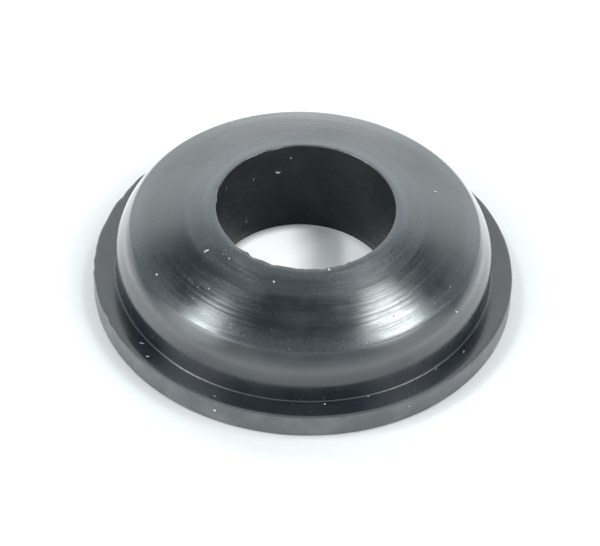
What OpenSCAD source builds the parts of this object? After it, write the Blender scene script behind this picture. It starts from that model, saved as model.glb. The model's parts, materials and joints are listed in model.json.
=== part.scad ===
// Valve cover grommet: one rubber moulding, a domed ring with a thin flange and a straight bore.
// The origin is the centre of the underside, and the bore runs up along +Z. Lengths are in millimetres.

/* [Flange] */
// Diameter of the flange
flange_d = 30; // [28:0.1:40]
// Thickness of the flange
flange_t = 1.9; // [1:0.1:3]
// Rounding of the flange's upper edge
flange_top_r = 0.15; // [0.05:0.05:0.4]
// Rounding of the flange's lower edge
flange_base_r = 0.2; // [0.05:0.05:0.4]

/* [Body] */
// Height from the underside to the rim of the bore
height = 7.8; // [7.4:0.1:10]
// Diameter of the upright wall above the flange
wall_d = 26.9; // [25.2:0.1:27.4]
// Fillet between the wall and the flange
root_r = 0.15; // [0.1:0.05:0.3]
// Radius of the shoulder, which leaves the wall upright and ends at the dome's edge
shoulder_r = 3.4; // [2.4:0.1:5]
// How far the dome's edge lies inside the wall
edge_inset = 1; // [0.6:0.1:1.6]
// Rounding of the dome's edge
dome_edge_r = 0.3; // [0.1:0.05:0.8]
// Slope of the dome next to the rim of the bore, in degrees
dome_slope = 18.5; // [14:0.5:22]
// Radius of the dome's slight crown
crown_r = 92; // [60:1:400]

/* [Bore] */
// Diameter of the bore
bore_d = 12.7; // [10:0.1:15]
// Radius at which the dome turns level at the rim of the bore
rim_r = 1.8; // [0.5:0.1:3]

/* [Hidden] */
$fn = 96;

// The section is drawn with X as the radius and Y as the height, and its joints are rounded to this step.
joint_step = 0.0001;
// An arc's centre is placed in two moves, first to the nearest of these steps and then by what is left.
centre_step = 0.001;

// The dome's edge follows the wall.
dome_edge_d = wall_d - 2 * edge_inset;

flange_radius = flange_d / 2;
wall_radius = wall_d / 2;
edge_radius = dome_edge_d / 2;
bore_radius = bore_d / 2;

// A point rounded to a step, so that the line and the arc that meet there share it exactly.
function snap(point, step) = [for (x = point) round(x / step) * step];

// A unit vector in the section, at an angle measured from straight up towards the outside.
function lean(angle) = [sin(angle), cos(angle)];

// A vector of length 1 along v.
function unit(v) = v / norm(v);

// The rise of an arc of radius r above its centre, at a distance across from that centre.
function rise(r, across) = sqrt(r * r - across * across);

// The centre of the arc of radius r from p to q, on the left of that walk.
function arc_centre(p, q, r) =
    let (half = (q - p) / 2)
    p + half + [-half[1], half[0]] / norm(half) * rise(r, norm(half));

// The point at distance ra from a and rb from b, on the right of the walk from a to b.
function meeting(a, ra, b, rb) =
    let (ahead = unit(b - a), span = norm(b - a), along = (span * span + ra * ra - rb * rb) / (2 * span))
    a + along * ahead + rise(ra, along) * [ahead[1], -ahead[0]];

// The flange: where its two rounded edges begin and end.
base_inner = [flange_radius - flange_base_r, 0];
base_outer = [flange_radius, flange_base_r];
top_outer = [flange_radius, flange_t - flange_top_r];
top_inner = [flange_radius - flange_top_r, flange_t];

// The root fillet touches the flange and the upright wall.
root_outer = [wall_radius + root_r, flange_t];
root_inner = [wall_radius, flange_t + root_r];

// The rim arc is level at the bore and takes up the dome's slope at its outer end.
rim_top = [bore_radius, height];
rim_end = rim_top + rim_r * (lean(dome_slope) - lean(0));

// The crown carries on from the rim to the dome's edge.
crown_centre = rim_end - crown_r * lean(dome_slope);
dome_edge_z = crown_centre[1] + rise(crown_r, edge_radius - crown_centre[0]);

// The shoulder runs from the dome's edge to the wall, and is upright where it meets the wall.
shoulder_x = wall_radius - shoulder_r;
shoulder_centre = [shoulder_x, dome_edge_z - rise(shoulder_r, edge_radius - shoulder_x)];
shoulder_end = shoulder_centre + [shoulder_r, 0];

// The edge's rounding touches the crown and the shoulder.
edge_centre = meeting(crown_centre, crown_r - dome_edge_r, shoulder_centre, shoulder_r - dome_edge_r);
crown_end = crown_centre + crown_r * unit(edge_centre - crown_centre);
edge_end = shoulder_centre + shoulder_r * unit(edge_centre - shoulder_centre);

// The sliver between the arc of radius r from p to q and its chord.
module arc_cap(p, q, r) {
    from = snap(p, joint_step);
    to = snap(q, joint_step);
    centre = arc_centre(from, to, r);
    near = snap(centre, centre_step);
    out = r * unit((from + to) / 2 - centre);
    intersection() {
        translate(near) translate(centre - near) circle(r);
        polygon([from, to, to + out, from + out]);
    }
}

// The right half of the section, from the foot of the bore round to its rim.
module section() {
    joints = [
        [bore_radius, 0],
        base_inner,
        base_outer,
        top_outer,
        top_inner,
        root_outer,
        root_inner,
        shoulder_end,
        edge_end,
        crown_end,
        rim_end,
        rim_top
    ];
    difference() {
        union() {
            polygon([for (joint = joints) snap(joint, joint_step)]);
            arc_cap(base_inner, base_outer, flange_base_r);
            arc_cap(top_outer, top_inner, flange_top_r);
            arc_cap(shoulder_end, edge_end, shoulder_r);
            arc_cap(edge_end, crown_end, dome_edge_r);
            arc_cap(crown_end, rim_end, crown_r);
            arc_cap(rim_end, rim_top, rim_r);
        }
        arc_cap(root_inner, root_outer, root_r);
    }
}

module grommet() {
    color([0.11, 0.11, 0.12]) rotate_extrude() section();
}

grommet();
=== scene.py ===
"""Looks of a moulded rubber valve cover grommet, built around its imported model."""

import json
import math

import bmesh
import bpy
from bpy.props import FloatProperty, FloatVectorProperty, IntProperty, PointerProperty
from mathutils import Matrix, Vector, noise


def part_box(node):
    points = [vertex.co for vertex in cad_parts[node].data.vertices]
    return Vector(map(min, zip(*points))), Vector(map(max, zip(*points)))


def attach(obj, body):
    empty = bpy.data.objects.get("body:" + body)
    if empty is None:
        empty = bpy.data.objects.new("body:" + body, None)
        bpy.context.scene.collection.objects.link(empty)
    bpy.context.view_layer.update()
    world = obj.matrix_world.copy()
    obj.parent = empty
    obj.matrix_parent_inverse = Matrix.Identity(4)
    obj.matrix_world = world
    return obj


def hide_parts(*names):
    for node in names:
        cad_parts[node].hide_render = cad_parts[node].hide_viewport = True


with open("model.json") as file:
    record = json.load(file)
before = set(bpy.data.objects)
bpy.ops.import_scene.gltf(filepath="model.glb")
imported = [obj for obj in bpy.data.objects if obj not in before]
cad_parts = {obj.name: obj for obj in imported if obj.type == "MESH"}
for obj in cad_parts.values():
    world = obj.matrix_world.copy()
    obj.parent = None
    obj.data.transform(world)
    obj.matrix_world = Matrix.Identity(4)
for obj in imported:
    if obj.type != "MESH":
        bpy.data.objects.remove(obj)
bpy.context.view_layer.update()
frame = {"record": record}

bl_info = {
    "name": "Valve Cover Grommet",
    "version": (1, 0, 0),
    "blender": (4, 5, 0),
    "location": "View3D > Sidebar > Grommet",
    "description": "Models a domed rubber grommet with its turned rings, torn edges and lint",
    "category": "Object",
}

MM = 0.001
BODY = "root"
NODE = "grommet"
# Name of the mask of the bore's pits, which sinks them and marks where shade is painted in them.
PIT_MASK = "pit_shade"
QUARTER = math.pi / 2
# A bell curve is taken as over at this many of its widths.
BELL_END = 3.0
# Vertices closer than this are one where the ring's seams close.
SEAM_GAP = 0.0001 * MM
# Sockets of a node that mixes two colours.
MIX_SHARE, MIX_FIRST, MIX_SECOND, MIX_RESULT = 0, 6, 7, 2
# Places of the materials on the moulding.
MOULDED, TRIMMED, DULL = 0, 1, 2

MOUNTS = {mount["name"]: mount for mount in frame["record"]["mounts"]}
NODE_LOW, NODE_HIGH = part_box(NODE)

# Mesh steps along each run and arc of the section.
STEPS = {
    "underside": 4,
    "base_edge": 4,
    "flange_edge": 6,
    "top_edge": 5,
    "flange_top": 6,
    "root": 9,
    "wall": 8,
    "shoulder": 32,
    "dome_edge": 8,
    "crown": 108,
    "rim": 8,
    "lip": 7,
    "bore": 20,
}
# How much the bore's mesh rows close up towards the rim, where 1 is even.
BORE_SPREAD = 1.7

# The rim's wear: its reach, the depth and rate of its roughness, and how far it sinks for a loss of 1.
RIM_REACH = 0.3 * MM
RIM_ROUGHNESS = 0.016 * MM
RIM_RATE = 26.0
RIM_SINK = 0.5
# The flange's uneven edge: its band, a slow wave and a fine ripple around it, and how far a nick sinks.
EDGE_BAND = 0.5 * MM
EDGE_WAVE = 0.018 * MM
EDGE_WAVE_RATE = 7.0
EDGE_RIPPLE = 0.010 * MM
EDGE_RIPPLE_RATE = 40.0
EDGE_RIPPLE_SHIFT = Vector((0.0, 0.0, 3.0))
NICK_SINK = 0.35
# The dome's streaks: how far outside the bore they start, and their rate around it.
STREAK_MARGIN = 0.5 * MM
STREAK_RATE = 2.2
# The pits: reach of the finer mesh in pit radii, its cuts, and the share and size of the ragged edge.
PIT_PATCH = 2.2
PIT_CUTS = 3
PIT_RAGGED = 0.4
PIT_GRAIN = 0.12 * MM
# The lint: the share, rate and shift of its ragged form, its thickness, its lift and its bend.
LINT_RAGGED = 0.35
LINT_RATE = 3.0
LINT_SHIFT = 0.3 * MM
LINT_THICKNESS = 0.7
LINT_LIFT = 0.22
LINT_BEND = 0.5
# Where the materials change: the flange's trimmed band and its top, the bore's band and the underside's.
TRIM_BAND = 0.12 * MM
TRIM_TOP = 0.6
BORE_BAND = 0.03 * MM
UNDERSIDE_BAND = 0.01 * MM

# Bands of the moulded rubber: two radii in millimetres, and the value that eases from one to the other.
# The first five bands turn the rubber paler: partly its own dull tone, partly painted reflection of the
# bright room near the rim and the dome's edge.
LIP_PALE = (6.9, 7.5, 0.7, 0.0)
INNER_PALE = (8.35, 8.80, 0.5, 0.0)
EDGE_PALE = (10.9, 12.2, 0.0, 0.75)
EDGE_PALE_END = (12.4, 12.6, 1.0, 0.0)
FLANGE_PALE = (13.5, 13.9, 0.0, 0.04)
FLANGE_CLOUDS = (13.3, 13.5, 1.0, 0.7)
WALL_DULL = (13.30, 13.42, 0.0, 0.06)
WALL_DULL_END = (13.46, 13.52, 1.0, 0.0)
EDGE_DULL = (14.78, 14.90, 0.0, 0.30)
# Shares of the bold and the faint dust on it, of the rub near the rim and of the grain in its relief.
BOLD_DUST = 0.26
FAINT_DUST = 0.06
RIM_RUB = 0.1
GRAIN_SHARE = 0.7
# Shares of the dust on the trimmed edge and in the bore, and how much rougher the pits are.
TRIM_DUST = 0.5
BORE_DUST = 0.35
PIT_ROUGHNESS = 0.4

# Glows of the room: direction from the origin and strength. Each fades between two closenesses to it.
GLOWS = (
    ((-0.655, -0.270, 0.705), 3.7),
    ((-0.820, -0.410, 0.400), 1.6),
    ((0.650, -0.280, 0.705), 3.3),
    ((0.800, -0.380, 0.460), 0.7),
    ((0.0, 0.400, 0.917), 0.1),
    ((0.0, 0.716, 0.698), 0.18),
    ((0.420, 0.120, 0.900), 0.35),
)
GLOW_START, GLOW_FULL = 0.93, 0.995
# How much the top of the bright back bows down to the sides.
BACK_BOW = 1.1
ROOM_TINT = (0.93, 0.98, 1.0, 1.0)
WHITE = (1.0, 1.0, 1.0, 1.0)
# Lamps: name, direction from the origin, direction of the first side, sides in metres, power and tint.
LAMPS = (
    ("left_lamp", (-0.461, 0.058, 0.886), (0.12, -0.13, 0.08), (0.14, 0.21), 2.6, (0.90, 0.98, 1.0)),
    ("right_lamp", (0.399, 0.157, 0.903), (0.21, 0.21, -0.13), (0.25, 0.095), 1.95, (0.93, 1.0, 1.0)),
)
# Half the side of the floor, the width of the camera's sensor in millimetres, and its near limit.
FLOOR_REACH = 1.5
SENSOR_WIDTH = 36.0
CLIP_START = 0.01

# Below, a bearing is an angle about the bore in degrees: 0 points to the camera and 90 to its right.

# Turned rings on the dome: radius in millimetres, and depth as a share of the ring depth.
RINGS = (
    (7.75, 0.7),
    (8.31, 0.9),
    (9.14, 0.4),
    (9.60, 0.4),
    (10.06, 0.5),
    (10.42, 1.3),
    (10.80, 1.2),
    (11.81, 0.5),
    (12.41, 1.0),
    (12.57, 1.0),
)
# Faint creases around the dome, in millimetres: radius, rise, and reach inwards and outwards.
CREASES = (
    (8.60, 0.034, 1.75, 2.35),
    (10.95, 0.022, 2.35, 1.45),
)
# Tears along the rim of the bore: bearing, half width in degrees, and loss in millimetres.
# A loss below zero is flash.
RIM_TEARS = (
    (-158.0, 5.0, -0.10),
    (-143.0, 4.0, -0.07),
    (-103.0, 2.5, 0.04),
    (-92.0, 3.0, -0.07),
    (-47.0, 4.0, 0.07),
    (-38.0, 1.5, -0.07),
    (-33.0, 3.5, 0.08),
    (-20.0, 3.0, 0.06),
    (-11.0, 4.0, -0.03),
    (12.0, 2.5, 0.05),
    (26.0, 2.0, 0.05),
    (29.5, 1.5, -0.04),
)
# Nicks along the flange's upper edge, given in the same way.
FLANGE_NICKS = (
    (-129.0, 1.2, 0.10),
    (-125.0, 2.6, -0.10),
    (-116.0, 1.3, 0.08),
    (-105.0, 3.5, 0.05),
    (-92.0, 1.4, 0.04),
    (-89.0, 1.0, -0.04),
    (-86.6, 0.9, 0.04),
    (-84.2, 1.0, -0.05),
    (-66.5, 1.4, 0.09),
    (-61.0, 2.0, 0.04),
    (128.0, 1.2, 0.10),
    (124.0, 2.0, 0.04),
)
# Pits in the wall of the bore: bearing, height, radius and depth in millimetres.
BORE_PITS = (
    (-115.8, 6.47, 0.26, 0.07),
    (-138.0, 1.58, 0.22, 0.06),
    (-134.5, 1.05, 0.14, 0.04),
)
# Lint that lies on upward faces: bearing, radius, length, width, and heading from the outward direction.
LINT_ON_TOP = (
    (-56.0, 8.19, 0.42, 0.11, -5.0),
    (-60.5, 11.71, 0.15, 0.13, 30.0),
    (-14.8, 7.72, 0.17, 0.11, 70.0),
    (-43.5, 7.52, 0.14, 0.07, 85.0),
    (-40.2, 9.98, 0.12, 0.07, 60.0),
    (109.2, 9.71, 0.28, 0.07, 20.0),
    (56.5, 12.95, 0.26, 0.09, 55.0),
    (55.5, 13.95, 0.26, 0.05, -70.0),
    (-52.5, 13.95, 0.36, 0.05, -50.0),
    (-47.2, 14.38, 0.26, 0.05, -40.0),
    (8.0, 13.72, 0.12, 0.10, 0.0),
    (21.0, 13.60, 0.10, 0.07, 10.0),
    (44.5, 13.62, 0.10, 0.07, 80.0),
    (-23.2, 14.50, 0.18, 0.04, 75.0),
    (15.8, 6.62, 0.18, 0.12, 20.0),
)
# Lint on the wall of the bore: bearing, height, length, width, and heading from straight up.
LINT_IN_BORE = (
    (-160.2, 5.43, 0.38, 0.16, 75.0),
    (-142.5, 5.45, 0.34, 0.05, 5.0),
    (-168.8, 6.63, 0.15, 0.09, 0.0),
)
# Lint on the flange's outer wall, given in the same way.
LINT_ON_EDGE = (
    (-22.2, 1.09, 0.20, 0.16, 30.0),
    (31.0, 1.30, 0.13, 0.09, 60.0),
)


def length(name, description, default):
    """A length in metres that a user may change."""
    return FloatProperty(name=name, description=description, default=default, unit="LENGTH", precision=5)


def angle(name, description, degrees):
    """An angle that a user may change, given here in degrees."""
    return FloatProperty(name=name, description=description, default=math.radians(degrees), subtype="ANGLE")


def amount(name, description, default):
    """A plain number that a user may change."""
    return FloatProperty(name=name, description=description, default=default, precision=4)


def colour(name, description, default):
    """A colour that a user may change."""
    return FloatVectorProperty(
        name=name, description=description, default=default, size=4, min=0.0, max=1.0, subtype="COLOR"
    )


class GrommetSizes(bpy.types.PropertyGroup):
    """Sizes of the moulding's section and of the marks on it."""

    flange_d: length("Flange diameter", "Diameter of the flange", NODE_HIGH.x - NODE_LOW.x)
    flange_t: length("Flange thickness", "Thickness of the flange", MOUNTS["flange_top"]["pos_m"][2])
    flange_dish: length("Flange dish", "How far the flange sinks towards the wall", 0.05 * MM)
    flange_top_r: length("Flange top edge", "Rounding of the flange's upper edge", 0.15 * MM)
    flange_base_r: length("Flange base edge", "Rounding of the flange's lower edge", 0.2 * MM)
    height: length("Height", "Height from the underside to the rim of the bore", NODE_HIGH.z - NODE_LOW.z)
    wall_d: length("Wall diameter", "Diameter of the upright wall above the flange", 26.9 * MM)
    root_r: length("Root fillet", "Fillet between the wall and the flange", 0.10 * MM)
    shoulder_r: length("Shoulder", "Radius of the shoulder between the wall and the dome's edge", 3.4 * MM)
    dome_edge_d: length("Dome edge diameter", "Diameter of the dome's edge", 24.9 * MM)
    dome_edge_r: length("Dome edge", "Rounding of the dome's edge", 0.3 * MM)
    dome_slope: angle("Dome slope", "Slope of the dome next to the rim of the bore", 18.5)
    crown_r: length("Crown", "Radius of the dome's slight crown", 92 * MM)
    bore_d: length("Bore", "Diameter of the bore", 2 * MOUNTS["bore"]["dims"]["r_mm"] * MM)
    rim_r: length("Rim", "Radius at which the dome turns level at the rim of the bore", 1.8 * MM)
    rim_edge_r: length("Rim edge", "Rounding of the trimmed edge at the bore", 0.08 * MM)
    rim_wear: length("Rim wear", "How far the rim is worn back on the camera's side", 0.02 * MM)
    ring_depth: length("Ring depth", "Depth of the turned rings on the dome", 0.0017 * MM)
    ring_width: length("Ring width", "Half width of a turned ring", 0.08 * MM)
    streak_depth: length("Streak depth", "Depth of the uneven streaks between the rings", 0.0011 * MM)
    streak_width: length("Streak width", "Spacing of the uneven streaks", 0.22 * MM)
    turns: IntProperty(name="Turns", description="Facets around the axis", default=440, min=48, max=480)


class GrommetFinish(bpy.types.PropertyGroup):
    """Colours of the rubber and of the dust and lint on it."""

    rubber: colour("Rubber", "Colour of the clean rubber", (0.008, 0.013, 0.018, 1.0))
    bloom: colour("Bloom", "Colour where the rubber has bloomed pale", (0.020, 0.026, 0.031, 1.0))
    # Paler colour near the rim and the dome's edge: partly the rubber's own tone, partly painted
    # reflection.
    haze_and_reflection: colour("Haze", "Colour of the haze near the rim and the dome's edge", (0.052, 0.061, 0.068, 1.0))
    trimmed: colour("Trimmed edge", "Colour of the trimmed flange edge", (0.098, 0.105, 0.110, 1.0))
    trimmed_pale: colour("Trimmed edge, pale", "Palest colour of that edge", (0.147, 0.153, 0.157, 1.0))
    bore: colour("Bore", "Colour of the wall of the bore", (0.008, 0.011, 0.014, 1.0))
    bore_pale: colour("Bore, pale", "Palest colour of the wall of the bore", (0.018, 0.020, 0.022, 1.0))
    # Near-black painted shade inside the pits in the bore.
    pit_shade: colour("Pit", "Colour inside the pits in the bore", (0.001, 0.0015, 0.002, 1.0))
    dust: colour("Dust", "Colour of the dust", (0.30, 0.32, 0.33, 1.0))
    lint: colour("Lint", "Colour of the lint", (0.80, 0.81, 0.78, 1.0))
    lint_shade: colour("Lint, shaded", "Darker colour in the lint", (0.52, 0.53, 0.50, 1.0))


class GrommetStudio(bpy.types.PropertyGroup):
    """Camera, lamps and floor."""

    elevation: angle("Elevation", "Height of the camera above the floor, as an angle", 44.24)
    roll: angle("Roll", "Tilt of the camera about its view", 2.55)
    distance: length("Distance", "Distance of the camera from the origin", 250 * MM)
    lens: amount("Lens", "Focal length for a sensor 36 wide, in millimetres", 208.03)
    aim_right: length("Aim right", "How far right of the origin the camera aims", -0.18 * MM)
    aim_up: length("Aim up", "How far above the origin the camera aims", 0.851 * MM)
    lamp_distance: length("Lamp distance", "Distance of the lamps from the origin", 600 * MM)
    floor: colour("Floor", "Colour of the floor", (0.80, 0.80, 0.80, 1.0))


def lean(turn):
    """A unit vector in the section, at an angle from straight up towards the outside."""
    return Vector((math.sin(turn), math.cos(turn)))


def arc(centre, radius, start, end, steps):
    """Points of an arc in the section, with both ends."""
    return [centre + radius * lean(start + (end - start) * i / steps) for i in range(steps + 1)]


def turn_of(vector):
    """The angle of a vector in the section, from straight up towards the outside."""
    return math.atan2(vector.x, vector.y)


def rise(radius, across):
    """The rise of an arc above its centre, at a distance across from that centre."""
    return math.sqrt(radius * radius - across * across)


def meeting(a, reach_a, b, reach_b):
    """The point at two given distances from a and b, on the right of the walk from a to b."""
    span = (b - a).length
    ahead = (b - a) / span
    along = (span * span + reach_a * reach_a - reach_b * reach_b) / (2 * span)
    return a + along * ahead + rise(reach_a, along) * Vector((ahead.y, -ahead.x))


def run(start, end, steps, spread=1.0):
    """Points of a straight run without its ends, closer at the start if spread is over 1."""
    return [start.lerp(end, (i / steps) ** spread) for i in range(1, steps)]


def turned(point, sizes):
    """A point of the dome, lifted by the creases and sunk where a turned ring passes."""
    lift = 0.0
    for radius, rise_there, inside, outside in CREASES:
        away = point.x / MM - radius
        reach = outside if away > 0.0 else inside
        lift += rise_there * MM * max(0.0, 1.0 - abs(away) / reach)
    for radius, share in RINGS:
        lift -= sizes.ring_depth * share * math.exp(-(((point.x - radius * MM) / sizes.ring_width) ** 2))
    return point + Vector((0.0, lift))


def section_outline(sizes):
    """The closed section as radius and height, from the foot of the bore outwards and back."""
    flange_radius = sizes.flange_d / 2
    bore_radius = sizes.bore_d / 2
    base_c = Vector((flange_radius - sizes.flange_base_r, sizes.flange_base_r))
    top_c = Vector((flange_radius - sizes.flange_top_r, sizes.flange_t - sizes.flange_top_r))
    wall_radius = sizes.wall_d / 2
    edge_radius = sizes.dome_edge_d / 2
    root_c = Vector((wall_radius + sizes.root_r, sizes.flange_t - sizes.flange_dish + sizes.root_r))
    rim_c = Vector((bore_radius, sizes.height - sizes.rim_r))
    crown_c = rim_c - (sizes.crown_r - sizes.rim_r) * lean(sizes.dome_slope)
    edge_z = crown_c.y + rise(sizes.crown_r, edge_radius - crown_c.x)
    shoulder_x = wall_radius - sizes.shoulder_r
    shoulder_c = Vector((shoulder_x, edge_z - rise(sizes.shoulder_r, edge_radius - shoulder_x)))
    crown_reach = sizes.crown_r - sizes.dome_edge_r
    edge_c = meeting(crown_c, crown_reach, shoulder_c, sizes.shoulder_r - sizes.dome_edge_r)
    crown_turn = turn_of(edge_c - crown_c)
    shoulder_turn = turn_of(edge_c - shoulder_c)
    lip_up = rise(sizes.rim_r - sizes.rim_edge_r, sizes.rim_edge_r)
    lip_c = rim_c + Vector((sizes.rim_edge_r, lip_up))
    lip_turn = turn_of(lip_c - rim_c)
    base_edge = arc(base_c, sizes.flange_base_r, 2 * QUARTER, QUARTER, STEPS["base_edge"])
    top_edge = arc(top_c, sizes.flange_top_r, QUARTER, 0.0, STEPS["top_edge"])
    root = arc(root_c, sizes.root_r, 2 * QUARTER, 3 * QUARTER, STEPS["root"])
    shoulder = arc(shoulder_c, sizes.shoulder_r, QUARTER, shoulder_turn, STEPS["shoulder"])
    edge = arc(edge_c, sizes.dome_edge_r, shoulder_turn, crown_turn, STEPS["dome_edge"])
    crown = arc(crown_c, sizes.crown_r, crown_turn, sizes.dome_slope, STEPS["crown"])
    rim = arc(rim_c, sizes.rim_r, sizes.dome_slope, lip_turn, STEPS["rim"])
    lip = arc(lip_c, sizes.rim_edge_r, lip_turn, -QUARTER, STEPS["lip"])
    bore_foot = Vector((bore_radius, 0.0))
    outline = [bore_foot] + run(bore_foot, base_edge[0], STEPS["underside"])
    outline += base_edge + run(base_edge[-1], top_edge[0], STEPS["flange_edge"])
    outline += top_edge + run(top_edge[-1], root[0], STEPS["flange_top"])
    outline += root + run(root[-1], shoulder[0], STEPS["wall"])
    outline += [turned(point, sizes) for point in shoulder + edge[1:-1] + crown[:-1]]
    outline += rim[:-1] + lip + run(lip[-1], bore_foot, STEPS["bore"], BORE_SPREAD)
    return outline


def draw_outline(bm, outline):
    """Draws a closed outline in the XZ plane by drawing one vertex on from point to point."""
    tip = bmesh.ops.create_vert(bm, co=(outline[0].x, 0.0, outline[0].y))["vert"][0]
    first = tip
    for point in outline[1:]:
        tip = bmesh.ops.extrude_vert_indiv(bm, verts=[tip])["verts"][0]
        tip.co = (point.x, 0.0, point.y)
    bm.edges.new((tip, first))


def spin_ring(bm, turns):
    """Spins the drawn outline through a quarter, copies that round and closes the seams."""
    centre = (0.0, 0.0, 0.0)
    axis = (0.0, 0.0, 1.0)
    outline = bm.verts[:] + bm.edges[:]
    bmesh.ops.spin(bm, geom=outline, cent=centre, axis=axis, angle=QUARTER, steps=turns // 4)
    quarter = bm.verts[:] + bm.edges[:] + bm.faces[:]
    bmesh.ops.spin(bm, geom=quarter, cent=centre, axis=axis, angle=3 * QUARTER, steps=3, use_duplicate=True)
    bmesh.ops.remove_doubles(bm, verts=bm.verts[:], dist=SEAM_GAP)


def bearing_of(point):
    """The bearing of a point about the bore, in degrees."""
    return math.degrees(math.atan2(point.x, -point.y))


def outward(bearing):
    """The level unit vector at a bearing given in degrees."""
    return Vector((math.sin(math.radians(bearing)), -math.cos(math.radians(bearing)), 0.0))


def loss_at(bearing, marks):
    """Sum of the tears or nicks that reach a bearing, in metres."""
    total = 0.0
    for place, half_width, loss in marks:
        away = (bearing - place + 180.0) % 360.0 - 180.0
        if abs(away) < BELL_END * half_width:
            total += loss * MM * math.exp(-((away / half_width) ** 2))
    return total


def wear_rim(bm, sizes):
    """Wears the rim of the bore back and tears it."""
    bore_radius = sizes.bore_d / 2
    for vert in bm.verts:
        radius = math.hypot(vert.co.x, vert.co.y)
        gap = math.hypot(radius - bore_radius, vert.co.z - sizes.height)
        if gap > BELL_END * RIM_REACH:
            continue
        out = Vector((vert.co.x, vert.co.y, 0.0)) / radius
        share = math.exp(-((gap / RIM_REACH) ** 2))
        facing = 0.5 - 0.5 * out.y
        loss = sizes.rim_wear * facing
        loss += loss_at(bearing_of(vert.co), RIM_TEARS)
        loss += RIM_ROUGHNESS * noise.noise(out * RIM_RATE + Vector((0.0, 0.0, vert.co.z / MM)))
        vert.co += share * (loss * out - Vector((0.0, 0.0, RIM_SINK * max(0.0, loss))))


def nick_flange(bm, sizes):
    """Nicks the flange's upper edge and makes its outer wall slightly uneven."""
    flange_radius = sizes.flange_d / 2
    inner = flange_radius - EDGE_BAND
    for vert in bm.verts:
        radius = math.hypot(vert.co.x, vert.co.y)
        if radius < inner or vert.co.z < 0.5 * sizes.flange_base_r:
            continue
        out = Vector((vert.co.x, vert.co.y, 0.0)) / radius
        share = ((radius - inner) / (flange_radius - inner)) ** 2
        level = vert.co.z / sizes.flange_t
        loss = loss_at(bearing_of(vert.co), FLANGE_NICKS) * level * level
        loss += EDGE_WAVE * noise.noise(out * EDGE_WAVE_RATE)
        loss += EDGE_RIPPLE * level * noise.noise(out * EDGE_RIPPLE_RATE + EDGE_RIPPLE_SHIFT)
        vert.co -= share * (loss * out + Vector((0.0, 0.0, NICK_SINK * max(0.0, loss) * level)))


def streak_dome(bm, sizes):
    """Adds the fine uneven streaks that run around the dome."""
    inner = sizes.bore_d / 2 + STREAK_MARGIN
    outer = sizes.wall_d / 2
    for vert in bm.verts:
        radius = math.hypot(vert.co.x, vert.co.y)
        if radius < inner or radius > outer or vert.co.z < 2 * sizes.flange_t:
            continue
        out = Vector((vert.co.x, vert.co.y, 0.0)) / radius
        spot = Vector((radius / sizes.streak_width, STREAK_RATE * out.x, STREAK_RATE * out.y))
        vert.co.z += sizes.streak_depth * noise.noise(spot)


def pit_bore(bm, sizes):
    """Sinks small pits into the wall of the bore, on a finer patch of faces."""
    bore_radius = sizes.bore_d / 2
    mask = bm.verts.layers.float.new(PIT_MASK)
    for bearing, height, radius, depth in BORE_PITS:
        out = outward(bearing)
        centre = out * bore_radius + Vector((0.0, 0.0, height * MM))
        near = PIT_PATCH * radius * MM
        patch = []
        for edge in bm.edges:
            middle = edge.verts[0].co.lerp(edge.verts[1].co, 0.5)
            if (middle - centre).length < near:
                patch.append(edge)
        bmesh.ops.subdivide_edges(bm, edges=patch, cuts=PIT_CUTS, use_grid_fill=True)
        for vert in bm.verts:
            away = (vert.co - centre).length / (radius * MM)
            if away < 1.0:
                ragged = 1.0 + PIT_RAGGED * noise.noise(vert.co / PIT_GRAIN)
                # This share sinks the pits and is kept as the mask for the painted shade in them.
                vert[mask] = 1.0 - away * away
                vert.co += out * depth * MM * ragged * vert[mask]


def finished_piece(bm, name, materials):
    """Turns a bmesh into a smooth piece of the part that moves with the body."""
    mesh = bpy.data.meshes.new(name)
    bm.to_mesh(mesh)
    bm.free()
    mesh.shade_smooth()
    for material in materials:
        mesh.materials.append(material)
    piece = bpy.data.objects.new(name, mesh)
    bpy.context.scene.collection.objects.link(piece)
    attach(piece, BODY)
    return piece


def node(tree, kind, location, **settings):
    """Adds a shader node and sets its properties."""
    made = tree.nodes.new(kind)
    made.location = location
    for name, value in settings.items():
        setattr(made, name, value)
    return made


def ramp(tree, source, low, high, at_low, at_high, location):
    """Eases a value from one range to another."""
    made = node(tree, "ShaderNodeMapRange", location, interpolation_type="SMOOTHSTEP")
    for name, value in (("From Min", low), ("From Max", high), ("To Min", at_low), ("To Max", at_high)):
        made.inputs[name].default_value = value
    tree.links.new(source, made.inputs["Value"])
    return made.outputs["Result"]


def zone(tree, radius, band, location):
    """Eases a value over a band of radii."""
    low, high, at_low, at_high = band
    return ramp(tree, radius, low * MM, high * MM, at_low, at_high, location)


def maths(tree, operation, location, *values):
    """A maths node whose inputs are sockets or plain numbers."""
    made = node(tree, "ShaderNodeMath", location, operation=operation)
    for socket, value in zip(made.inputs, values):
        if isinstance(value, (int, float)):
            socket.default_value = value
        else:
            tree.links.new(value, socket)
    return made.outputs[0]


def blended(tree, share, first, second, location):
    """Mixes two colours, which are sockets or plain colours, by a share."""
    made = node(tree, "ShaderNodeMix", location, data_type="RGBA")
    tree.links.new(share, made.inputs[MIX_SHARE])
    for socket, value in ((made.inputs[MIX_FIRST], first), (made.inputs[MIX_SECOND], second)):
        if isinstance(value, bpy.types.NodeSocket):
            tree.links.new(value, socket)
        else:
            socket.default_value = value
    return made.outputs[MIX_RESULT]


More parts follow.
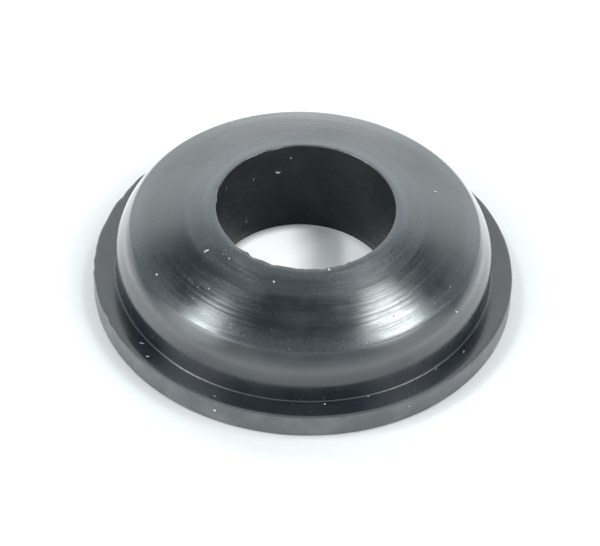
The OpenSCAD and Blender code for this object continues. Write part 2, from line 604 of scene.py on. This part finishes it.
def new_group(name, inputs, outputs):
    """A shader node group with number inputs after the coordinates, and number outputs."""
    group = bpy.data.node_groups.new(name, "ShaderNodeTree")
    group.interface.new_socket("Coordinates", in_out="INPUT", socket_type="NodeSocketVector")
    for label, default in inputs:
        socket = group.interface.new_socket(label, in_out="INPUT", socket_type="NodeSocketFloat")
        socket.default_value = default
    for label in outputs:
        group.interface.new_socket(label, in_out="OUTPUT", socket_type="NodeSocketFloat")
    start = node(group, "NodeGroupInput", (-900, 0))
    end = node(group, "NodeGroupOutput", (700, 0))
    return group, start, end


def placed_group(tree, group, coordinates, location, **values):
    """Places a node group in a material with its own values."""
    made = node(tree, "ShaderNodeGroup", location, node_tree=group)
    tree.links.new(coordinates, made.inputs["Coordinates"])
    for label, value in values.items():
        made.inputs[label].default_value = value
    return made


def mottle_group():
    """Cloudy patches and a fine grain, for uneven colour, gloss and skin."""
    group, start, end = new_group("mottle", (("Cloud", 400.0), ("Grain", 9000.0)), ("Cloudy", "Grainy"))
    cloud = node(group, "ShaderNodeTexNoise", (-500, 150))
    cloud.inputs["Detail"].default_value = 4.0
    cloud.inputs["Roughness"].default_value = 0.6
    grain = node(group, "ShaderNodeTexNoise", (-500, -150))
    grain.inputs["Detail"].default_value = 2.0
    for texture, label in ((cloud, "Cloud"), (grain, "Grain")):
        group.links.new(start.outputs["Coordinates"], texture.inputs["Vector"])
        group.links.new(start.outputs[label], texture.inputs["Scale"])
    soft = ramp(group, cloud.outputs["Fac"], 0.34, 0.68, 0.0, 1.0, (-200, 150))
    group.links.new(soft, end.inputs["Cloudy"])
    group.links.new(grain.outputs["Fac"], end.inputs["Grainy"])
    return group


def speck_group():
    """Separate specks of dust, some larger than others."""
    inputs = (("Spacing", 1300.0), ("Size", 0.11), ("Rarity", 0.6))
    group, start, end = new_group("specks", inputs, ("Speck",))
    cells = node(group, "ShaderNodeTexVoronoi", (-600, 0))
    group.links.new(start.outputs["Coordinates"], cells.inputs["Vector"])
    group.links.new(start.outputs["Spacing"], cells.inputs["Scale"])
    chance = node(group, "ShaderNodeSeparateColor", (-400, -150))
    group.links.new(cells.outputs["Color"], chance.inputs[0])
    reach = maths(group, "MULTIPLY", (-200, -200), chance.outputs[1], start.outputs["Size"])
    close = maths(group, "DIVIDE", (0, 0), cells.outputs["Distance"], reach)
    round_dot = ramp(group, close, 0.55, 1.0, 1.0, 0.0, (180, 0))
    kept = maths(group, "GREATER_THAN", (180, -200), chance.outputs[0], start.outputs["Rarity"])
    group.links.new(maths(group, "MULTIPLY", (420, -60), round_dot, kept), end.inputs["Speck"])
    return group


def polar(tree, place, location):
    """The distance of a place from the bore's axis, and its heading from that axis."""
    x, y = location
    split = node(tree, "ShaderNodeSeparateXYZ", (x, y))
    tree.links.new(place, split.inputs[0])
    flat = node(tree, "ShaderNodeCombineXYZ", (x + 160, y))
    tree.links.new(split.outputs["X"], flat.inputs["X"])
    tree.links.new(split.outputs["Y"], flat.inputs["Y"])
    radius = node(tree, "ShaderNodeVectorMath", (x + 320, y), operation="LENGTH")
    tree.links.new(flat.outputs[0], radius.inputs[0])
    heading = node(tree, "ShaderNodeVectorMath", (x + 320, y - 160), operation="NORMALIZE")
    tree.links.new(flat.outputs[0], heading.inputs[0])
    return radius.outputs["Value"], heading.outputs[0]


def polar_noise(tree, radius, heading, across, around, detail, location):
    """Noise in bands around the bore, with its rates across the bands and around the bore."""
    x, y = location
    scaled = node(tree, "ShaderNodeVectorMath", (x, y - 160), operation="SCALE")
    tree.links.new(heading, scaled.inputs[0])
    scaled.inputs["Scale"].default_value = around
    band = node(tree, "ShaderNodeCombineXYZ", (x, y))
    tree.links.new(maths(tree, "MULTIPLY", (x - 160, y), radius, across), band.inputs["Z"])
    joined = node(tree, "ShaderNodeVectorMath", (x + 160, y), operation="ADD")
    tree.links.new(scaled.outputs[0], joined.inputs[0])
    tree.links.new(band.outputs[0], joined.inputs[1])
    texture = node(tree, "ShaderNodeTexNoise", (x + 320, y))
    tree.links.new(joined.outputs[0], texture.inputs["Vector"])
    texture.inputs["Scale"].default_value = 1.0
    texture.inputs["Detail"].default_value = detail
    return texture.outputs["Fac"]


def new_surface(name, ior):
    """A material with its shader and its object coordinates."""
    material = bpy.data.materials.new(name)
    material.use_nodes = True
    tree = material.node_tree
    shader = tree.nodes["Principled BSDF"]
    shader.inputs["IOR"].default_value = ior
    place = node(tree, "ShaderNodeTexCoord", (-1900, 0)).outputs["Object"]
    return material, tree, shader, place


def skin(tree, shader, height, depth):
    """Gives a shader a fine relief."""
    bump = node(tree, "ShaderNodeBump", (-260, -320))
    bump.inputs["Strength"].default_value = 1.0
    bump.inputs["Distance"].default_value = depth
    tree.links.new(height, bump.inputs["Height"])
    tree.links.new(bump.outputs["Normal"], shader.inputs["Normal"])


def moulded_rubber(finish, mottle, specks):
    """Glossy black rubber that was moulded against turned steel, dull around the rim, and paler near the
    rim and the dome's edge, partly in its own tone and partly as painted reflection.
    """
    material, tree, shader, place = new_surface("moulded_rubber", ior=1.9)
    patches = placed_group(tree, mottle, place, (-1100, 300), Cloud=330.0, Grain=5200.0)
    dots = placed_group(tree, specks, place, (-1100, 60), Spacing=1250.0, Size=0.13, Rarity=0.86)
    fine_dots = placed_group(tree, specks, place, (-1100, -120), Spacing=3200.0, Size=0.34, Rarity=0.40)
    radius, heading = polar(tree, place, (-2300, -420))
    streaks = polar_noise(
        tree, radius, heading, across=5200.0, around=2.4, detail=3.0, location=(-1650, -420)
    )
    # Paler bands near the rim and the dome's edge: partly the rubber's own tone, partly painted reflection
    # of the bright room.
    lip = zone(tree, radius, LIP_PALE, (-1300, -700))
    inner = zone(tree, radius, INNER_PALE, (-1300, -900))
    near_rim = maths(tree, "ADD", (-1100, -700), lip, inner)
    near_edge = zone(tree, radius, EDGE_PALE, (-1100, -900))
    past_edge = zone(tree, radius, EDGE_PALE_END, (-1100, -1100))
    flange = zone(tree, radius, FLANGE_PALE, (-1100, -1300))
    outer = maths(tree, "MULTIPLY_ADD", (-900, -1000), near_edge, past_edge, flange)
    grain = ramp(tree, patches.outputs["Grainy"], 0.34, 0.68, 0.78, 1.22, (-900, -600))
    dull = maths(tree, "MAXIMUM", (-800, -800), near_rim, outer)
    pale_share = maths(tree, "MULTIPLY", (-700, -800), dull, grain)
    above = zone(tree, radius, FLANGE_CLOUDS, (-1100, 620))
    clouds = maths(tree, "MULTIPLY", (-840, 520), patches.outputs["Cloudy"], above)
    cloudy = maths(tree, "MULTIPLY", (-840, 420), clouds, grain)
    bloomed = blended(tree, cloudy, finish.rubber, finish.bloom, (-640, 300))
    pale_coloured = blended(tree, pale_share, bloomed, finish.haze_and_reflection, (-520, 300))
    faint = maths(tree, "MULTIPLY", (-840, -120), fine_dots.outputs["Speck"], FAINT_DUST)
    bold = maths(tree, "MULTIPLY", (-840, 40), dots.outputs["Speck"], BOLD_DUST)
    dust_share = maths(tree, "MAXIMUM", (-660, 0), bold, faint)
    tree.links.new(blended(tree, dust_share, pale_coloured, finish.dust, (-420, 220)), shader.inputs["Base Color"])
    gloss = ramp(tree, streaks, 0.3, 0.72, 0.13, 0.21, (-640, -200))
    smudged = ramp(tree, patches.outputs["Cloudy"], 0.0, 1.0, 0.0, 0.05, (-640, -420))
    rubbed = maths(tree, "MULTIPLY_ADD", (-520, -420), inner, RIM_RUB, smudged)
    upright = zone(tree, radius, WALL_DULL, (-1100, -1500))
    level = zone(tree, radius, WALL_DULL_END, (-1100, -1700))
    rounded = zone(tree, radius, EDGE_DULL, (-1100, -1900))
    matt = maths(tree, "MULTIPLY_ADD", (-700, -1600), upright, level, rounded)
    dulled = maths(tree, "ADD", (-420, -420), rubbed, matt)
    worn = maths(tree, "ADD", (-420, -200), gloss, dulled)
    tree.links.new(maths(tree, "ADD", (-240, -120), worn, dust_share), shader.inputs["Roughness"])
    fine = maths(tree, "MULTIPLY", (-640, -620), patches.outputs["Grainy"], GRAIN_SHARE)
    skin(tree, shader, maths(tree, "ADD", (-440, -520), fine, streaks), depth=0.0011 * MM)
    return material


def trimmed_rubber(finish, mottle, specks):
    """Matt greyish rubber of the trimmed flange edge."""
    material, tree, shader, place = new_surface("trimmed_rubber", ior=1.6)
    patches = placed_group(tree, mottle, place, (-1100, 300), Cloud=520.0, Grain=6000.0)
    dots = placed_group(tree, specks, place, (-1100, 60), Spacing=1500.0, Size=0.12, Rarity=0.7)
    cut = blended(tree, patches.outputs["Cloudy"], finish.trimmed, finish.trimmed_pale, (-640, 300))
    dust_share = maths(tree, "MULTIPLY", (-640, 60), dots.outputs["Speck"], TRIM_DUST)
    tree.links.new(blended(tree, dust_share, cut, finish.dust, (-420, 220)), shader.inputs["Base Color"])
    dull = ramp(tree, patches.outputs["Grainy"], 0.3, 0.7, 0.46, 0.62, (-640, -200))
    tree.links.new(dull, shader.inputs["Roughness"])
    skin(tree, shader, patches.outputs["Grainy"], depth=0.004 * MM)
    return material


def bore_rubber(finish, mottle, specks):
    """Dull dark rubber of the bore and of the underside, with painted shade in the bore's pits."""
    material, tree, shader, place = new_surface("bore_rubber", ior=1.42)
    patches = placed_group(tree, mottle, place, (-1100, 300), Cloud=480.0, Grain=5200.0)
    dots = placed_group(tree, specks, place, (-1100, 60), Spacing=1500.0, Size=0.12, Rarity=0.72)
    clean = blended(tree, patches.outputs["Cloudy"], finish.bore, finish.bore_pale, (-840, 300))
    # The pits are painted near-black as shade, and made rougher.
    sunk = node(tree, "ShaderNodeAttribute", (-1100, 560), attribute_name=PIT_MASK)
    pit_shade_share = ramp(tree, sunk.outputs["Fac"], 0.05, 0.5, 0.0, 1.0, (-840, 560))
    wall = blended(tree, pit_shade_share, clean, finish.pit_shade, (-640, 300))
    dust_share = maths(tree, "MULTIPLY", (-640, 60), dots.outputs["Speck"], BORE_DUST)
    tree.links.new(blended(tree, dust_share, wall, finish.dust, (-420, 220)), shader.inputs["Base Color"])
    dull = ramp(tree, patches.outputs["Grainy"], 0.3, 0.7, 0.42, 0.58, (-640, -200))
    rough = maths(tree, "MULTIPLY_ADD", (-420, -200), pit_shade_share, PIT_ROUGHNESS, dull)
    tree.links.new(rough, shader.inputs["Roughness"])
    skin(tree, shader, patches.outputs["Grainy"], depth=0.004 * MM)
    return material


def lint_fibre(finish, mottle):
    """Pale lint with a slightly uneven colour."""
    material, tree, shader, place = new_surface("pale_lint", ior=1.45)
    patches = placed_group(tree, mottle, place, (-1100, 300), Cloud=6000.0, Grain=24000.0)
    mixed = blended(tree, patches.outputs["Cloudy"], finish.lint, finish.lint_shade, (-640, 300))
    tree.links.new(mixed, shader.inputs["Base Color"])
    dull = ramp(tree, patches.outputs["Grainy"], 0.3, 0.7, 0.6, 0.85, (-640, -200))
    tree.links.new(dull, shader.inputs["Roughness"])
    skin(tree, shader, patches.outputs["Grainy"], depth=0.003 * MM)
    return material


def shared_group(name, make):
    """A node group that is built once and then found again."""
    return bpy.data.node_groups.get(name) or make()


class GROMMET_OT_moulding(bpy.types.Operator):
    """Models the rubber moulding in place of the plain solid"""

    bl_idname = "grommet.moulding"
    bl_label = "Moulding"

    def execute(self, context):
        sizes = context.scene.grommet_sizes
        finish = context.scene.grommet_finish
        mottle = shared_group("mottle", mottle_group)
        specks = shared_group("specks", speck_group)
        bm = bmesh.new()
        draw_outline(bm, section_outline(sizes))
        spin_ring(bm, sizes.turns)
        streak_dome(bm, sizes)
        wear_rim(bm, sizes)
        nick_flange(bm, sizes)
        pit_bore(bm, sizes)
        bmesh.ops.recalc_face_normals(bm, faces=bm.faces[:])
        edge_from = sizes.flange_d / 2 - TRIM_BAND
        edge_below = sizes.flange_t - TRIM_TOP * sizes.flange_top_r
        bore_within = sizes.bore_d / 2 + BORE_BAND
        bore_below = sizes.height - sizes.rim_edge_r
        for face in bm.faces:
            middle = face.calc_center_median()
            radius = math.hypot(middle.x, middle.y)
            face.material_index = MOULDED
            if radius > edge_from and middle.z < edge_below:
                face.material_index = TRIMMED
            if middle.z < UNDERSIDE_BAND or (radius < bore_within and middle.z < bore_below):
                face.material_index = DULL
        materials = (
            moulded_rubber(finish, mottle, specks),
            trimmed_rubber(finish, mottle, specks),
            bore_rubber(finish, mottle, specks),
        )
        piece = finished_piece(bm, "grommet_moulding", materials)
        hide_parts(NODE)
        return {"FINISHED"}


def lint_bit(bm, place, normal, along, size, bend):
    """A small rounded bit of lint that lies on a surface, with its length along a direction."""
    long, wide = size
    made = bmesh.ops.create_uvsphere(bm, u_segments=10, v_segments=8, radius=0.5)["verts"]
    for vert in made:
        ragged = 1.0 + LINT_RAGGED * noise.noise(vert.co * LINT_RATE + place / LINT_SHIFT)
        x, y, z = vert.co
        bow = bend * wide * (4.0 * z * z - 0.5)
        vert.co = (ragged * wide * x + bow, LINT_THICKNESS * ragged * wide * y, long * z)
    side = normal.cross(along).normalized()
    turn = Matrix((side, normal, side.cross(normal))).transposed()
    bmesh.ops.transform(bm, matrix=turn.to_4x4(), verts=made)
    bmesh.ops.translate(bm, vec=place + normal * LINT_LIFT * wide, verts=made)


def landing(piece, start, direction):
    """The point and the normal where a line first meets a piece."""
    hit, place, normal, _ = piece.ray_cast(start, direction)
    if not hit:
        raise RuntimeError("lint misses the moulding")
    return place, normal


class GROMMET_OT_lint(bpy.types.Operator):
    """Lays bits of lint on the moulding"""

    bl_idname = "grommet.lint"
    bl_label = "Lint"

    def execute(self, context):
        context.view_layer.update()
        ring = bpy.data.objects["grommet_moulding"]
        high = Vector((0.0, 0.0, 20 * MM))
        up = Vector((0.0, 0.0, 1.0))
        spots = []
        for bearing, radius, long, wide, heading in LINT_ON_TOP:
            out = outward(bearing)
            spots.append((landing(ring, out * radius * MM + high, -up), out, long, wide, heading))
        for bearing, height, long, wide, heading in LINT_IN_BORE:
            spots.append((landing(ring, up * height * MM, outward(bearing)), up, long, wide, heading))
        for bearing, height, long, wide, heading in LINT_ON_EDGE:
            out = outward(bearing)
            start = out * ring.dimensions.x + up * height * MM
            spots.append((landing(ring, start, -out), up, long, wide, heading))
        bm = bmesh.new()
        for i, ((place, normal), towards, long, wide, heading) in enumerate(spots):
            flat = (towards - normal * towards.dot(normal)).normalized()
            along = Matrix.Rotation(math.radians(heading), 3, normal) @ flat
            lint_bit(bm, place, normal, along, (long * MM, wide * MM), LINT_BEND * (-1) ** i)
        bmesh.ops.recalc_face_normals(bm, faces=bm.faces[:])
        finish = context.scene.grommet_finish
        finished_piece(bm, "surface_lint", (lint_fibre(finish, shared_group("mottle", mottle_group)),))
        return {"FINISHED"}


def studio_world():
    """A room that is bright around the horizon and dim overhead, and plain white for the camera."""
    world = bpy.data.worlds.new("studio")
    bpy.context.scene.world = world
    world.use_nodes = True
    tree = world.node_tree
    tree.nodes.clear()
    direction = node(tree, "ShaderNodeTexCoord", (-1300, 0))
    split = node(tree, "ShaderNodeSeparateXYZ", (-1120, 0))
    tree.links.new(direction.outputs["Generated"], split.inputs[0])
    x, y, z = split.outputs
    width = maths(tree, "MULTIPLY", (-940, -300), x, x)
    bowed = maths(tree, "MULTIPLY_ADD", (-760, -300), width, BACK_BOW, z)

    walls = ramp(tree, z, 0.28, 0.84, 1.18, 0.12, (-560, 600))
    behind = ramp(tree, y, 0.10, 0.45, 0.0, 1.0, (-560, 400))
    back_rise = ramp(tree, z, 0.03, 0.40, -0.30, 0.80, (-560, 200))
    back_top = ramp(tree, bowed, 0.82, 1.0, 1.0, 0.0, (-560, 0))
    side_low = ramp(tree, z, 0.22, 0.55, 0.32, 0.0, (-560, -200))
    side_far = ramp(tree, width, 0.30, 0.75, 0.0, 1.0, (-560, -400))
    corner_low = ramp(tree, z, 0.06, 0.30, 1.3, 0.0, (-560, -600))
    corner_far = ramp(tree, width, 0.15, 0.36, 0.0, 1.0, (-760, -800))
    corner_end = ramp(tree, width, 0.50, 0.70, 1.0, 0.0, (-760, -1000))
    corner_span = maths(tree, "MULTIPLY", (-560, -800), corner_far, corner_end)
    back_low = ramp(tree, z, 0.06, 0.15, 0.25, 0.0, (-760, -1200))
    flank_low = ramp(tree, z, 0.12, 0.27, 0.28, 0.0, (-760, -1400))
    flank_far = ramp(tree, width, 0.004, 0.02, 0.0, 1.0, (-560, -1400))
    dark_high = ramp(tree, z, 0.04, 0.22, 0.0, -0.95, (-960, -1000))
    dark_far = ramp(tree, width, 0.60, 0.80, 0.0, 1.0, (-960, -1200))
    dark_back = ramp(tree, y, -0.12, 0.12, 0.0, 1.0, (-960, -1400))
    dark_side = maths(tree, "MULTIPLY", (-760, -1600), dark_far, dark_back)
    front_high = ramp(tree, z, 0.45, 0.70, -0.20, 0.36, (-560, -1000))
    front_side = ramp(tree, y, -0.40, 0.0, 1.0, 0.0, (-560, -1200))
    front_low = ramp(tree, z, 0.0, 0.32, 0.6, 0.0, (-560, -1300))

    back = maths(tree, "MULTIPLY", (-340, 100), back_rise, back_top)
    back = maths(tree, "ADD", (-340, 0), back, back_low)
    back = maths(tree, "MULTIPLY_ADD", (-260, 0), flank_low, flank_far, back)
    corners = maths(tree, "MULTIPLY_ADD", (-340, -100), corner_low, corner_span, back)
    total = maths(tree, "MULTIPLY_ADD", (-180, 100), corners, behind, walls)
    total = maths(tree, "MULTIPLY_ADD", (-20, 100), side_low, side_far, total)
    total = maths(tree, "MULTIPLY_ADD", (60, 100), dark_high, dark_side, total)
    front = maths(tree, "ADD", (-20, -200), front_high, front_low)
    total = maths(tree, "MULTIPLY_ADD", (140, 100), front, front_side, total)
    for i, (centre, strength) in enumerate(GLOWS):
        near = node(tree, "ShaderNodeVectorMath", (-560, -1400 - 200 * i), operation="DOT_PRODUCT")
        near.inputs[1].default_value = centre
        tree.links.new(direction.outputs["Generated"], near.inputs[0])
        spot_at = (-340, -1400 - 200 * i)
        spot = ramp(tree, near.outputs["Value"], GLOW_START, GLOW_FULL, 0.0, strength, spot_at)
        total = maths(tree, "ADD", (300 + 160 * i, 100), total, spot)
    lit = node(tree, "ShaderNodeBackground", (640, 80))
    tree.links.new(total, lit.inputs["Strength"])
    white = node(tree, "ShaderNodeBackground", (640, -80))
    path = node(tree, "ShaderNodeLightPath", (640, 420))
    mix = node(tree, "ShaderNodeMixShader", (840, 0))
    out = node(tree, "ShaderNodeOutputWorld", (1020, 0))
    lit.inputs["Color"].default_value = ROOM_TINT
    white.inputs["Color"].default_value = WHITE
    tree.links.new(path.outputs["Is Camera Ray"], mix.inputs[0])
    tree.links.new(lit.outputs[0], mix.inputs[1])
    tree.links.new(white.outputs[0], mix.inputs[2])
    tree.links.new(mix.outputs[0], out.inputs["Surface"])


def floor_material(studio):
    """A pale floor that keeps the part's shadow, with light added for the camera and for reflections, and
    for the camera a painted shadow beside the part and painted pools of light inside the bore.
    """
    material = bpy.data.materials.new("studio_floor")
    material.use_nodes = True
    tree = material.node_tree
    tree.nodes.clear()
    diffuse = node(tree, "ShaderNodeBsdfDiffuse", (-200, 100))
    diffuse.inputs["Color"].default_value = studio.floor
    glow = node(tree, "ShaderNodeEmission", (-200, -60))
    path = node(tree, "ShaderNodeLightPath", (-820, -60))
    place = node(tree, "ShaderNodeNewGeometry", (-1000, -260))
    away = node(tree, "ShaderNodeVectorMath", (-820, -260), operation="LENGTH")
    tree.links.new(place.outputs["Position"], away.inputs[0])
    split = node(tree, "ShaderNodeSeparateXYZ", (-820, -420))
    tree.links.new(place.outputs["Position"], split.inputs[0])
    distance = away.outputs["Value"]
    x, y, _ = split.outputs

    # Light for reflections, which is stronger far off, to the sides and behind the part.
    ahead = ramp(tree, distance, 15 * MM, 50 * MM, 0.05, 0.62, (-620, -260))
    sideways = maths(tree, "DIVIDE", (-980, -600), x, distance)
    aside = maths(tree, "MULTIPLY", (-820, -600), sideways, sideways)
    flank = ramp(tree, aside, 0.35, 0.90, 0.0, 0.40, (-620, -440))
    beside = ramp(tree, aside, 0.2, 0.6, 0.0, 1.5, (-620, -600))
    behind = ramp(tree, y, -6 * MM, 25 * MM, 0.0, 1.0, (-620, -800))
    close = ramp(tree, distance, 40 * MM, 80 * MM, 1.0, 0.0, (-620, -1000))
    rear = maths(tree, "MULTIPLY", (-440, -900), behind, close)
    around = maths(tree, "MULTIPLY_ADD", (-440, -700), beside, rear, flank)
    mirrored = maths(tree, "ADD", (-440, -300), ahead, around)

    # Light for the camera: inside the bore, painted pools of light on the left and right with a painted
    # shadow between them, and on the open floor a painted shadow beside the part, deepest on its left.
    inside = ramp(tree, distance, 5.5 * MM, 6.4 * MM, 1.0, 0.0, (-980, -1200))
    lit_left = ramp(tree, x, -1.8 * MM, 1.6 * MM, 0.66, 0.0, (-980, -1400))
    lit_right = ramp(tree, x, 2.2 * MM, 3.6 * MM, 0.0, 0.28, (-980, -1600))
    painted_shadow_side = ramp(tree, x, -12 * MM, 12 * MM, 0.0, 0.11, (-1160, -1800))
    painted_shadow_fade = ramp(tree, distance, 15 * MM, 20 * MM, 0.0, 0.20, (-1160, -2000))
    open_floor_with_painted_shadow = maths(tree, "MAXIMUM", (-980, -1800), painted_shadow_side, painted_shadow_fade)
    patch = maths(tree, "ADD", (-800, -1500), lit_left, lit_right)
    change = maths(tree, "SUBTRACT", (-800, -1700), patch, open_floor_with_painted_shadow)
    floor_light = maths(tree, "MULTIPLY_ADD", (-620, -1300), inside, change, open_floor_with_painted_shadow)

    seen = maths(tree, "MULTIPLY", (-620, -60), path.outputs["Is Camera Ray"], floor_light)
    strength = maths(tree, "MULTIPLY_ADD", (-420, -60), path.outputs["Is Glossy Ray"], mirrored, seen)
    tree.links.new(strength, glow.inputs["Strength"])
    add = node(tree, "ShaderNodeAddShader", (0, 40))
    out = node(tree, "ShaderNodeOutputMaterial", (180, 40))
    tree.links.new(diffuse.outputs[0], add.inputs[0])
    tree.links.new(glow.outputs[0], add.inputs[1])
    tree.links.new(add.outputs[0], out.inputs["Surface"])
    return material


def lamp(name, direction, along, distance, size, power, tint):
    """A soft lamp that faces the origin, with its first side along a direction, brightest at its middle."""
    data = bpy.data.lights.new(name, "AREA")
    data.shape = "RECTANGLE"
    data.size, data.size_y = size
    data.energy = power
    data.color = tint
    data.use_nodes = True
    tree = data.node_tree
    place = node(tree, "ShaderNodeNewGeometry", (-900, 0))
    centred = node(tree, "ShaderNodeVectorMath", (-700, 0), operation="SUBTRACT")
    tree.links.new(place.outputs["Parametric"], centred.inputs[0])
    centred.inputs[1].default_value = (0.5, 0.5, 0.0)
    flat = node(tree, "ShaderNodeVectorMath", (-520, 0), operation="MULTIPLY")
    tree.links.new(centred.outputs[0], flat.inputs[0])
    flat.inputs[1].default_value = (1.0, 1.0, 0.0)
    away = node(tree, "ShaderNodeVectorMath", (-340, 0), operation="LENGTH")
    tree.links.new(flat.outputs[0], away.inputs[0])
    fade = ramp(tree, away.outputs["Value"], 0.0, 0.5, 1.0, 0.0, (-160, 0))
    tree.links.new(fade, tree.nodes["Emission"].inputs["Strength"])
    made = bpy.data.objects.new(name, data)
    back = Vector(direction).normalized()
    upward = back.cross(Vector(along)).normalized()
    axes = Matrix((upward.cross(back), upward, back)).transposed()
    made.matrix_world = Matrix.Translation(back * distance) @ axes.to_4x4()
    bpy.context.scene.collection.objects.link(made)


def photo_camera(studio):
    """The camera at the photograph's angle."""
    tilt = studio.elevation
    back = Vector((0.0, -math.cos(tilt), math.sin(tilt)))
    right = Vector((1.0, 0.0, 0.0))
    up = back.cross(right)
    turned_right = math.cos(studio.roll) * right + math.sin(studio.roll) * up
    turned_up = math.cos(studio.roll) * up - math.sin(studio.roll) * right
    place = back * studio.distance
    aim = turned_right * studio.aim_right + turned_up * studio.aim_up
    axis = (place - aim).normalized()
    side = turned_up.cross(axis).normalized()
    data = bpy.data.cameras.new("photo_camera")
    data.sensor_fit = "HORIZONTAL"
    data.sensor_width = SENSOR_WIDTH
    data.lens = studio.lens
    data.clip_start = CLIP_START
    camera = bpy.data.objects.new("photo_camera", data)
    frame_axes = Matrix((side, axis.cross(side), axis)).transposed()
    camera.matrix_world = Matrix.Translation(place) @ frame_axes.to_4x4()
    bpy.context.scene.collection.objects.link(camera)
    bpy.context.scene.camera = camera


class GROMMET_OT_studio(bpy.types.Operator):
    """Sets the floor, the lamps, the room and the camera"""

    bl_idname = "grommet.studio"
    bl_label = "Studio"

    def execute(self, context):
        studio = context.scene.grommet_studio
        bm = bmesh.new()
        bmesh.ops.create_grid(bm, x_segments=1, y_segments=1, size=FLOOR_REACH)
        mesh = bpy.data.meshes.new("studio_floor")
        bm.to_mesh(mesh)
        bm.free()
        mesh.materials.append(floor_material(studio))
        floor = bpy.data.objects.new("studio_floor", mesh)
        context.scene.collection.objects.link(floor)
        studio_world()
        for name, direction, along, size, power, tint in LAMPS:
            lamp(name, direction, along, studio.lamp_distance, size, power, tint)
        photo_camera(studio)
        context.scene.view_settings.view_transform = "Standard"
        return {"FINISHED"}


OPERATORS = (GROMMET_OT_moulding, GROMMET_OT_lint, GROMMET_OT_studio)


class GROMMET_PT_sidebar(bpy.types.Panel):
    """Lists the grommet's operators and values"""

    bl_idname = "GROMMET_PT_sidebar"
    bl_label = "Valve Cover Grommet"
    bl_space_type = "VIEW_3D"
    bl_region_type = "UI"
    bl_category = "Grommet"

    def draw(self, context):
        for operator in OPERATORS:
            self.layout.operator(operator.bl_idname)
        scene = context.scene
        for values in (scene.grommet_sizes, scene.grommet_finish, scene.grommet_studio):
            column = self.layout.column()
            for name in values.__annotations__:
                column.prop(values, name)


CLASSES = (GrommetSizes, GrommetFinish, GrommetStudio) + OPERATORS + (GROMMET_PT_sidebar,)


def register():
    for cls in CLASSES:
        bpy.utils.register_class(cls)
    bpy.types.Scene.grommet_sizes = PointerProperty(type=GrommetSizes)
    bpy.types.Scene.grommet_finish = PointerProperty(type=GrommetFinish)
    bpy.types.Scene.grommet_studio = PointerProperty(type=GrommetStudio)


def unregister():
    del bpy.types.Scene.grommet_studio
    del bpy.types.Scene.grommet_finish
    del bpy.types.Scene.grommet_sizes
    for cls in reversed(CLASSES):
        bpy.utils.unregister_class(cls)


def main():
    register()
    bpy.ops.grommet.moulding()
    bpy.ops.grommet.lint()
    bpy.ops.grommet.studio()


if __name__ == "__main__":
    main()
